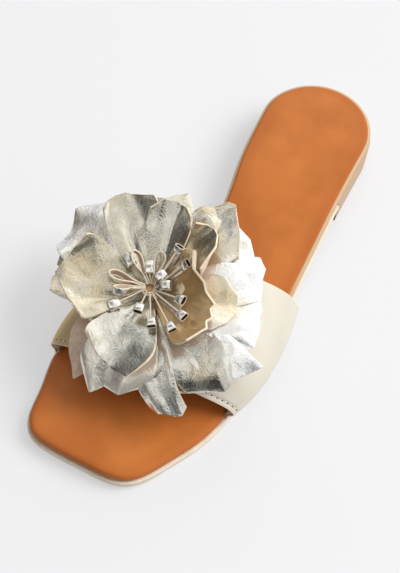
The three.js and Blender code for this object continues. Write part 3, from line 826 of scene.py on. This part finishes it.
def platinum_foil():
    """Crinkled platinum foil on leather, with painted light in its colour: a warm tone for the warm
    reflections and shade between petals, and a whiter tone for bright reflections.
    """
    n = Surface("platinum_leather")
    silver = n.ramp(n.noise(110, 3), (0.3, (0.63, 0.615, 0.54)), (0.7, (0.75, 0.74, 0.67)))
    # Painted highlight: whiter foil where a petal is marked pale.
    cool = n.blend(n.attribute("pale"), silver, (0.97, 0.965, 0.94))
    patches = n.spread(n.noise(30, 2), 0, 0.6, 0.52, 0.68)
    warm = n.blend(patches, cool, (0.62, 0.47, 0.22))
    # Painted warm reflection and shade: golden foil where a petal is marked so.
    reflection_tone = n.ramp(n.attribute("gold"), (0.4, (0.67, 0.495, 0.19)), (0.9, (0.86, 0.54, 0.22)))
    colour = n.blend(n.attribute("gold"), warm, reflection_tone)
    crackle = n.bump(n.cells(700, "DISTANCE_TO_EDGE"), 0.25, 0.25)
    dents = n.bump(n.noise(220, 3, 0.55), 0.28, 0.9, crackle)
    crinkle = n.bump(n.noise(560, 3, 0.6), 0.32, 0.5, dents)
    grain = n.bump(n.noise(1400, 2), 0.25, 0.3, crinkle)
    polish = n.spread(n.noise(180, 3), 0.17, 0.28)
    return n.shade(Base_Color=colour, Metallic=n.attribute("metal"), Roughness=polish, Normal=grain)


def bright_foil():
    """The same foil where it is cut into narrow strips: smoother and brighter."""
    n = Surface("bright_foil")
    colour = n.ramp(n.noise(160, 2), (0.3, (0.84, 0.81, 0.73)), (0.7, (0.92, 0.90, 0.84)))
    polish = n.spread(n.noise(240, 2), 0.16, 0.28)
    dents = n.bump(n.noise(420, 3), 0.2, 0.4)
    return n.shade(Base_Color=colour, Metallic=1.0, Roughness=polish, Normal=dents)


FOIL = Material(platinum_foil(), raw_edge(), suede_back())


# Sole pieces

def strap_passes(ring):
    """How far each point of the ring lies within the strap's stretch, from 0 to 1."""
    front, _, rear = STRAP
    outer = ring[:, 0] < 0
    start = np.where(outer, rear.lateral, rear.medial)
    end = np.where(outer, front.lateral, front.medial)
    within = np.minimum(ring[:, 1] - start, end - ring[:, 1]) + NOTCH_EASE
    return np.clip(within / NOTCH_EASE, 0, 1)


def cut_share(along):
    """1 where the footbed's leather is cut off on its board, 0 where it is wrapped round the edge."""
    share = np.clip((WRAP_ENDS - along) / (WRAP_ENDS - WRAP_STARTS), 0, 1)
    return share * share * (3 - 2 * share)


def make_footbed():
    """The padded insole: leather on a board, rolled over its edge at the toe, with a crowned top."""
    top_of = INSOLE_THICKNESS + GAP
    edge = INSOLE_MARGIN + strap_passes(SOLE) * (STRAP_THICKNESS + 3 * GAP - INSOLE_MARGIN)

    def layer(row):
        def height(along):
            return seat(along) + top_of - row.wrap_down - (row.cut_down - row.wrap_down) * cut_share(along)

        return edge + row.wrap_in + (row.cut_in - row.wrap_in) * cut_share(SOLE[:, 1]), height

    def swell(cap):
        u = np.linspace(0, 1, SIDE_STEPS + 1)[:, None]
        v = np.linspace(0, 1, END_STEPS + 1)[None, :]
        crown = np.minimum(1, FOOTBED_CROWN_EASE * u * (1 - u)) * (1 - (2 * v - 1) ** 2)
        return crown * (INSOLE_PAD + FOOTBED_LUMPS * roughness_of(cap, FOOTBED_LUMP_SIZE))

    piece = slab("footbed", [layer(row) for row in FOOTBED_EDGE], [tan_leather()], swell)
    corners = np.array([v.co for v in piece.data.vertices]) / MM + (0, HEEL_REST, 0)
    alongs = corners[:, 1]
    below = seat(alongs) + top_of - corners[:, 2]
    inside = np.linalg.norm(corners[:, None, :2] - SOLE[None], axis=2).min(1)
    # Painted shade on the sides below the top, and a darker band on the top near the edge.
    low = np.clip((below - SIDE_SHADE_BELOW) / SIDE_SHADE_FADE, 0, 1)
    mark(piece, "side_shade_edge_dark", np.maximum(low, EDGE_DARK * np.clip(1 - inside / EDGE_DARK_REACH, 0, 1)))
    mark(piece, "board", np.where(below > BOARD_SHOWS_BELOW, cut_share(alongs), 0))
    finish_piece(piece, "tan_leather", "insole")


def over(surface, height):
    return lambda along: surface(along) + height


def make_outsole():
    def bottom(along):
        return np.maximum(0, seat(along) - OUTSOLE_THICKNESS)

    layers = [(inward, over(bottom, up)) for inward, up in OUTSOLE_LOW]
    layers += [(inward, over(seat, -down)) for inward, down in OUTSOLE_HIGH]
    piece = slab("sole_edge", layers, [beige_sole()])
    cut_across(piece, HEEL_LENGTH + GAP, True, 0)
    finish_piece(piece, "beige_sole", "outsole")


def make_heel():
    layers = [(GAP + HEEL_TAPER + inward, over(np.zeros_like, up)) for inward, up in HEEL_LOW]
    layers += [(GAP + inward, over(seat, -down)) for inward, down in HEEL_HIGH]
    piece = slab("heel_stack", layers, [stacked_heel(), heel_breast()])
    cut_across(piece, HEEL_LENGTH, False, 1)
    finish_piece(piece, "stacked_heel", "heel")


# Strap

def strap_section(place, steps):
    """Points across the strap from the outer edge of the sole to the inner one; place 0 is the front edge."""
    shares = (2 * (place - 0.5) * (place - 1), 4 * place * (1 - place), 2 * place * (place - 0.5))
    row = StrapRow(*np.dot(shares, STRAP))
    reach = GAP + STRAP_THICKNESS / 2
    outer_foot = reach - float(lateral(row.lateral))
    inner_foot = float(medial(row.medial)) - reach

    def side(foot, along, form, sign):
        floor = float(seat(along)) + 2 * GAP
        widest = foot + sign * form.swell
        top = floor + form.height
        return [
            (foot, floor),
            (foot + sign * form.swell * FOOT_OUT, floor + INSOLE_THICKNESS * FOOT_UP),
            (widest, top),
            (row.crown_x + (widest - row.crown_x) * SHOULDER_OUT, top + (row.crown_z - top) * form.shoulder),
        ]

    outer = side(outer_foot, row.lateral, StrapSide(*np.dot(shares, STRAP_OUTER_SIDE)), -1)
    inner = side(inner_foot, row.medial, StrapSide(*np.dot(shares, STRAP_INNER_SIDE)), 1)
    across = resample(spline([*outer, (row.crown_x, row.crown_z), *inner[::-1]]), steps)
    share = (across[:, 0] - outer_foot) / (inner_foot - outer_foot)
    bow = STRAP_BOW * np.sin(np.pi * np.clip(share, 0, 1))
    along = row.lateral + (row.medial - row.lateral) * share + bow
    return np.column_stack([across[:, 0], along, across[:, 1]])


def strap_rows(places):
    return np.stack([strap_section(place, STRAP_STEPS_ACROSS) for place in places])


def make_strap():
    """The strap's metallic leather and the lining under it."""
    even = np.linspace(0, 1, STRAP_STEPS_BACK + 1)
    steps = np.linspace(-TROUGH_SPAN, TROUGH_SPAN, TROUGH_ROWS)
    trough = STITCH_PLACE + steps * TROUGH_REACH / STRAP_LENGTH
    clear = (even < trough[0]) | (even > trough[-1])
    places = np.unique(np.concatenate([even[clear], trough]))
    off_row = (places - STITCH_PLACE) * STRAP_LENGTH / TROUGH_REACH
    outer_face = STRAP_THICKNESS / 2 - TROUGH_DEPTH * np.exp(-(off_row**2))
    inner_face = STRAP_THICKNESS / 2 - STRAP_LINING
    points, faces, slots = shell(strap_rows(places), outer_face[:, None, None], -inner_face)
    edge = raw_edge()
    leather = make_object("strap_leather", points, faces, [cream_foil(), strap_edge(), edge], slots)
    across = np.tile(np.linspace(0, 1, STRAP_STEPS_ACROSS + 1), 2 * len(places))
    # Painted shade and warm reflection on the strap's inner side.
    mark(leather, "gold", np.clip((across - STRAP_WARM_REFLECTION_FROM) / (STRAP_WARM_REFLECTION_TO - STRAP_WARM_REFLECTION_FROM), 0, 1))
    soften_edges(leather, STRAP_EDGE_ROUND, 3)
    finish_piece(leather, "cream_metallic_leather", "strap")
    under = strap_rows(even[1:-1])[:, 1:-1]
    points, faces, slots = shell(under, inner_face - STRAP_LINING_GAP, STRAP_THICKNESS / 2)
    lining = make_object("strap_lining", points, faces, [edge, edge, lining_leather()], slots)
    finish_piece(lining, "cream_metallic_leather")


def strap_line(place):
    """A fine line across the strap: its points, and the directions along it and off the strap there."""
    line = strap_section(place, LINE_STEPS)
    before, behind = (strap_section(place + step, LINE_STEPS) for step in (-LINE_STEP_BACK, LINE_STEP_BACK))
    ahead = unit(np.gradient(line, axis=0))
    return line, ahead, unit(np.cross(behind - before, ahead))


def ball():
    """Points of a ball of diameter 1 in rows from one end of its X axis to the other."""
    drops = np.linspace(0, np.pi, STITCH_ROWS)
    turns = np.linspace(0, 2 * np.pi, STITCH_COLUMNS)
    drop, turn = np.meshgrid(drops, turns, indexing="ij")
    ways = np.stack([np.cos(drop), np.sin(drop) * np.cos(turn), np.sin(drop) * np.sin(turn)], axis=-1)
    return ways.reshape(-1, 3) / 2


def make_stitches():
    """The row of stitches along the strap's front edge, with a small dark piece of painted shade for the hole
    at the ends of each.
    """
    line, ahead, up = strap_line(STITCH_PLACE)
    lengths = lengths_to(line)
    route = np.hstack([line + up * (STRAP_THICKNESS / 2 - TROUGH_DEPTH), ahead, np.cross(up, ahead), up])
    thread = ball() * (STITCH_LENGTH, STITCH_WIDTH, STITCH_HEIGHT)
    thread[:, 1] += thread[:, 0] * math.tan(math.radians(STITCH_SLANT))
    hole = ball() * (STITCH_HOLE, STITCH_HOLE, STITCH_HOLE / 2)
    quads = grid_faces(STITCH_ROWS, STITCH_COLUMNS)
    count = round((lengths[-1] - 2 * STITCH_ENDS) / STITCH_PITCH)
    parts = []
    for half in range(2 * count + 1):
        at = STITCH_ENDS + half * STITCH_PITCH / 2
        middle, *ways = np.array([np.interp(at, lengths, column) for column in route.T]).reshape(4, 3)
        # The holes are small dark pieces of painted shade.
        slot, form = (0, thread) if half % 2 else (1, hole)
        parts.append((middle + form @ np.array(ways), quads, np.full(len(quads), slot)))
    points, faces, slots = join(parts)
    row = make_object("strap_stitches", points, faces, [stitch_thread(), shaded_suede()], slots)
    finish_piece(row, "cream_metallic_leather")


# Flower

def flower_frame():
    """Where the flower sits on the strap and how it is turned."""
    at = round(FLOWER_ACROSS * LINE_STEPS)
    line, _, up = strap_line(FLOWER_BACK)
    place = line[at] + up[at] * (STRAP_THICKNESS / 2 + 2 * GAP)
    return place, np.array(Vector((0, 0, 1)).rotation_difference(Vector(up[at])).to_matrix())


FLOWER_AT, FLOWER_TURN = flower_frame()


def in_flower(points):
    """Points of the flower's own frame, as points of the shoe."""
    return points @ FLOWER_TURN.T + FLOWER_AT


def petal_grid(petal, hub, rng):
    """The middle surface of one petal, from the hub to the tip and from one edge to the other."""
    places, cuts = zip(*RIMS[petal.rim])
    t = np.linspace(0, 1, PETAL_STEPS_OUT + 1)[:, None]
    v = np.unique(np.round([*np.linspace(0, 1, PETAL_STEPS_ACROSS + 1), *places], 3))[None, :]
    base = (hub.bottom + hub.top) / 2
    start = hub.radius * PETAL_ROOT
    side = 2 * v - 1
    cut = np.interp(v, places, cuts)
    out = start + (petal.reach - start) * (t - cut * t ** (1 / np.maximum(cut, 1 / 3)))
    opening = np.sin(np.clip(PETAL_OPENS * t, 0, 1) * np.pi / 2) ** PETAL_OPENING
    half = petal.width / 2 * (PETAL_NECK + (1 - PETAL_NECK) * opening - PETAL_CLOSE * t**5)
    rise = base * (1 - t) * (1 - 2 * t) + petal.middle * 4 * t * (1 - t) + petal.tip * t * (2 * t - 1)
    edge = half * (petal.cup * side**2 + math.tan(math.radians(petal.twist)) * side) * t
    wave = PETAL_RUFFLE * t**2 * np.sin(2 * np.pi * (PETAL_RUFFLES * v + rng.uniform(0, 1)))
    trough = np.exp(-(((side - petal.fold_at) / CREASE_WIDTH) ** 2))
    crease = -petal.fold * trough * np.sin(np.pi * np.clip(CREASE_REACH * t, 0, 1))
    spread = side * half + petal.bend * t**4
    turn = math.radians(petal.toward)
    x = out * math.cos(turn) - spread * math.sin(turn)
    y = out * math.sin(turn) + spread * math.cos(turn)
    grid = np.stack([x, y, rise + edge + petal.curl * t**6 + wave + crease], axis=-1)
    offset = rng.uniform(0, 100)
    grid[..., 2] += t * sum(depth * roughness_of(grid + offset, size) for depth, size in RELIEF)
    return grid


def make_rosette(name, petals, hub, seed, node):
    """A layer of the flower: petals round its middle, joined into one piece."""
    rng = random.Random(seed)
    walls = []
    for petal in petals:
        points, faces, slots = shell(petal_grid(petal, hub, rng), PETAL_THICKNESS / 2, PETAL_THICKNESS / 2)
        walls.append((points, faces, 2 - slots if petal.turned else slots))
    counts = [len(points) for points, _, _ in walls]
    # Painted light for each petal: a warm tone for warm reflections and shade, a whiter one for bright
    # reflections.
    gold = np.repeat([petal.gold for petal in petals], counts)
    pale = np.repeat([petal.pale for petal in petals], counts)
    points, faces, slots = join(walls)
    piece = make_object(name, in_flower(points), faces, FOIL, slots)
    mark(piece, "gold", gold)
    mark(piece, "pale", pale)
    mark(piece, "metal", 1 - WARM_REFLECTION_SATIN * gold - PALE_SATIN * pale)
    soften_edges(piece, PETAL_EDGE_ROUND)
    finish_piece(piece, "platinum_leather", node)


def oval_loop(stamen):
    """A strip folded into a loop, lying along +X from the knot: a ribbon as a grid of points."""
    there = np.array(OVAL) * (stamen.reach - STAMEN_ROOT, 1) + (STAMEN_ROOT, 0)
    back = there[::-1] * (1, -1)
    route = resample(spline(np.vstack([there, back])), STAMEN_STEPS)
    loop = np.column_stack([route, 0 * route[:, 0]])
    widths = np.linspace(STAMEN_WIDTH / 2, -STAMEN_WIDTH / 2, STRIP_ROWS)
    roll = math.radians(stamen.roll)
    edge = np.array((0, -math.sin(roll), math.cos(roll)))
    loop[:, 1:] = loop[:, 1:2] * (math.cos(roll), math.sin(roll))
    return loop[:, None, :] + widths[None, :, None] * edge


def bulb_leg(stamen):
    """A strip on edge along +X, turned at its root: a ribbon as a grid of points."""
    out = np.linspace(STAMEN_ROOT, stamen.reach - stamen.length * LEG_INTO_BULB, LEG_STEPS)
    roll = math.radians(stamen.roll) * (1 - np.linspace(0, 1, LEG_STEPS)) ** 2
    width = np.linspace(STAMEN_WIDTH, STAMEN_WIDTH * LEG_TAPER, LEG_STEPS)
    widths = np.linspace(0.5, -0.5, STRIP_ROWS)[None, :] * width[:, None]
    x = np.broadcast_to(out[:, None], widths.shape)
    return np.stack([x, -np.sin(roll)[:, None] * widths, np.cos(roll)[:, None] * widths], axis=-1)


def bulb_cup(stamen):
    """The flat cup at the end of a bulb, open outwards: points, faces and the slot of each face."""
    power = 2 / BULB_SQUARENESS
    across = signed_power(np.cos(BULB_ANGLES), power)
    up = signed_power(np.sin(BULB_ANGLES), power)
    outside = np.column_stack([across * BULB_WIDTH / 2, up * BULB_HEIGHT / 2])
    inside = np.column_stack([across * (BULB_WIDTH / 2 - BULB_WALL), up * (BULB_HEIGHT / 2 - BULB_WALL)])
    half = stamen.length / 2
    floor = BULB_WALL - half
    outer_rings = ((0 * outside, -half), (outside, -half), (outside, half))
    rings = (*outer_rings, (inside, half), (inside, floor), (0 * inside, floor))
    points = np.vstack([np.column_stack([np.full(BULB_STEPS, out), ring]) for ring, out in rings])
    pitch = Quaternion((0, 1, 0), -math.radians(stamen.pitch))
    points = points @ np.array(pitch.to_matrix()).T + (stamen.reach - half, 0, 0)
    # The cup's inside takes slot 3, dark brown: painted shade.
    return points, ring_faces(len(rings), BULB_STEPS), np.repeat([0, 0, 1, 3, 3], BULB_STEPS)


def ribbon(grid):
    """A closed wall about a strip."""
    return shell(grid, STAMEN_THICKNESS / 2, STAMEN_THICKNESS / 2)


def knot_spiral():
    """The rolled strip in the middle, as a grid of points."""
    angle = np.linspace(0, 2 * np.pi * KNOT_TURNS, KNOT_STEPS)
    radius = KNOT_RADIUS * (KNOT_INNER + (1 - KNOT_INNER) * angle / angle[-1]) - STAMEN_THICKNESS / 2
    heights = np.linspace(KNOT_BOTTOM, KNOT_TOP, KNOT_ROWS)
    narrow = np.linspace(1, KNOT_NARROW, KNOT_ROWS)
    x = np.cos(angle)[:, None] * radius[:, None] * narrow[None]
    y = np.sin(angle)[:, None] * radius[:, None] * narrow[None]
    return np.stack([x, y, np.broadcast_to(heights, x.shape)], axis=-1)


def knot_floor():
    """The golden leather at the bottom of the knot's hollow: points, faces and the slot of each face."""
    circle = np.column_stack([np.cos(BULB_ANGLES), np.sin(BULB_ANGLES)]) * KNOT_FLOOR_RADIUS
    high = KNOT_TOP - KNOT_FLOOR_DOWN
    low = high - KNOT_FLOOR_THICKNESS
    rings = ((0, low), (1, low), (1, high), (0, high))
    points = np.vstack([np.column_stack([circle * share, np.full(BULB_STEPS, z)]) for share, z in rings])
    quads = ring_faces(len(rings), BULB_STEPS)
    return points, quads, np.full(len(quads), 4)


def make_stamens():
    """The tuft in the flower's middle: loops and bulbs round the knot."""
    walls = [ribbon(knot_spiral()), knot_floor()]
    for stamen in STAMENS:
        turn = Quaternion((0, 0, 1), math.radians(stamen.toward))
        turn @= Quaternion((0, 1, 0), -math.atan2(stamen.rise, stamen.reach))
        if stamen.form == "bulb":
            pieces = [ribbon(bulb_leg(stamen)), bulb_cup(stamen)]
        else:
            pieces = [ribbon(oval_loop(stamen))]
        for points, faces, slots in pieces:
            placed = points @ np.array(turn.to_matrix()).T + (0, 0, (KNOT_BOTTOM + KNOT_TOP) / 2)
            walls.append((placed, faces, slots))
    points, faces, slots = join(walls)
    strip = (bright_foil(), FOIL.rim, FOIL.inside, shaded_suede(), golden_suede())
    piece = make_object("stamen_loops", in_flower(points), faces, strip, slots)
    soften_edges(piece, STAMEN_EDGE_ROUND, 1)
    finish_piece(piece, "platinum_leather", "stamens")


# Stage

def make_floor():
    mesh = bpy.data.meshes.new("floor")
    mesh.from_pydata(FLOOR_CORNERS, [], [(0, 1, 2, 3)])
    pale = Surface("pale_floor").shade(
        Base_Color=FLOOR_COLOUR,
        Roughness=0.9,
        Specular_IOR_Level=0.1,
        Emission_Color=(1, 1, 1, 1),
        Emission_Strength=FLOOR_GLOW,
    )
    mesh.materials.append(pale)
    floor = add_object("floor", mesh)


def room_patches(n, direction, height, window):
    """Soft lamps and dark gaps between them, above the horizon and off the window, for the foil to mirror."""
    shifted = n.add("VectorMath", direction, PATCH_SHIFT)
    patches = n.noise(PATCH_SCALE, 1, at=shifted.outputs[0])
    level = n.spread(patches, PATCH_DARK, PATCH_BRIGHT, PATCH_FROM, PATCH_TO)
    above = n.spread(height, 0, 1, PATCHES_START, PATCHES_FULL)
    aside = n.spread(window, 1, PATCH_SHARE_AT_WINDOW)
    share = n.add("Math", above, aside, operation="MULTIPLY")
    mix = n.add("Mix", share.outputs[0])
    n.feed(mix.inputs[2], 1)
    n.feed(mix.inputs[3], level)
    return mix.outputs[0]


def make_light():
    """A bright studio: a tall band of soft light behind the shoe, dimmer in front and overhead."""
    world = bpy.data.worlds.new("studio")
    world.use_nodes = True
    bpy.context.scene.world = world
    n = Nodes(world.node_tree)
    direction = n.add("TexCoord").outputs["Generated"]
    height = n.add("SeparateXYZ", Vector=direction).outputs["Z"]
    toward = n.add("VectorMath", direction, WINDOW_DIRECTION, operation="DOT_PRODUCT").outputs["Value"]
    share = n.add("MapRange", toward, WINDOW_START, WINDOW_FULL, interpolation_type="SMOOTHSTEP")
    window = share.outputs["Result"]
    front = n.ramp(height, *((row.height, 3 * (row.front,)) for row in SKY))
    back = n.ramp(height, *((row.height, 3 * (row.back,)) for row in SKY))
    background = n.tree.nodes["Background"]
    n.set(background, "Color", n.blend(window, front, back))
    n.set(background, "Strength", room_patches(n, direction, height, window))


def make_top_light():
    """A broad soft light high up behind the outer side, which isn't mirrored in the foil."""
    light = bpy.data.lights.new("top_light", "AREA")
    light.shape = "SQUARE"
    light.size = TOP_LIGHT_SIZE
    light.energy = TOP_LIGHT_POWER
    made = add_object("top_light", light)
    made.location = TOP_LIGHT_AT
    made.rotation_euler = (CAMERA_AIM - TOP_LIGHT_AT).to_track_quat("-Z", "Y").to_euler()
    made.visible_glossy = False


def make_camera():
    camera = bpy.data.cameras.new("camera")
    camera.sensor_width = CAMERA_SENSOR
    camera.lens = CAMERA_LENS
    made = add_object("camera", camera)
    made.location = CAMERA_AT
    made.rotation_mode = "QUATERNION"
    turn = CAMERA_SIGHT.rotation_difference(CAMERA_AIM - CAMERA_AT)
    made.rotation_quaternion = turn @ CAMERA_SIGHT.to_track_quat("-Z", "Y")
    bpy.context.scene.camera = made


make_footbed()
make_outsole()
make_heel()
make_strap()
make_stitches()
make_rosette("flower_lower", LOWER_PETALS, LOWER_HUB, 3, "petals_lower")
make_rosette("flower_upper", UPPER_PETALS, UPPER_HUB, 8, "petals_upper")
make_stamens()
make_floor()
make_light()
make_top_light()
make_camera()
bpy.context.scene.view_settings.view_transform = "Standard"
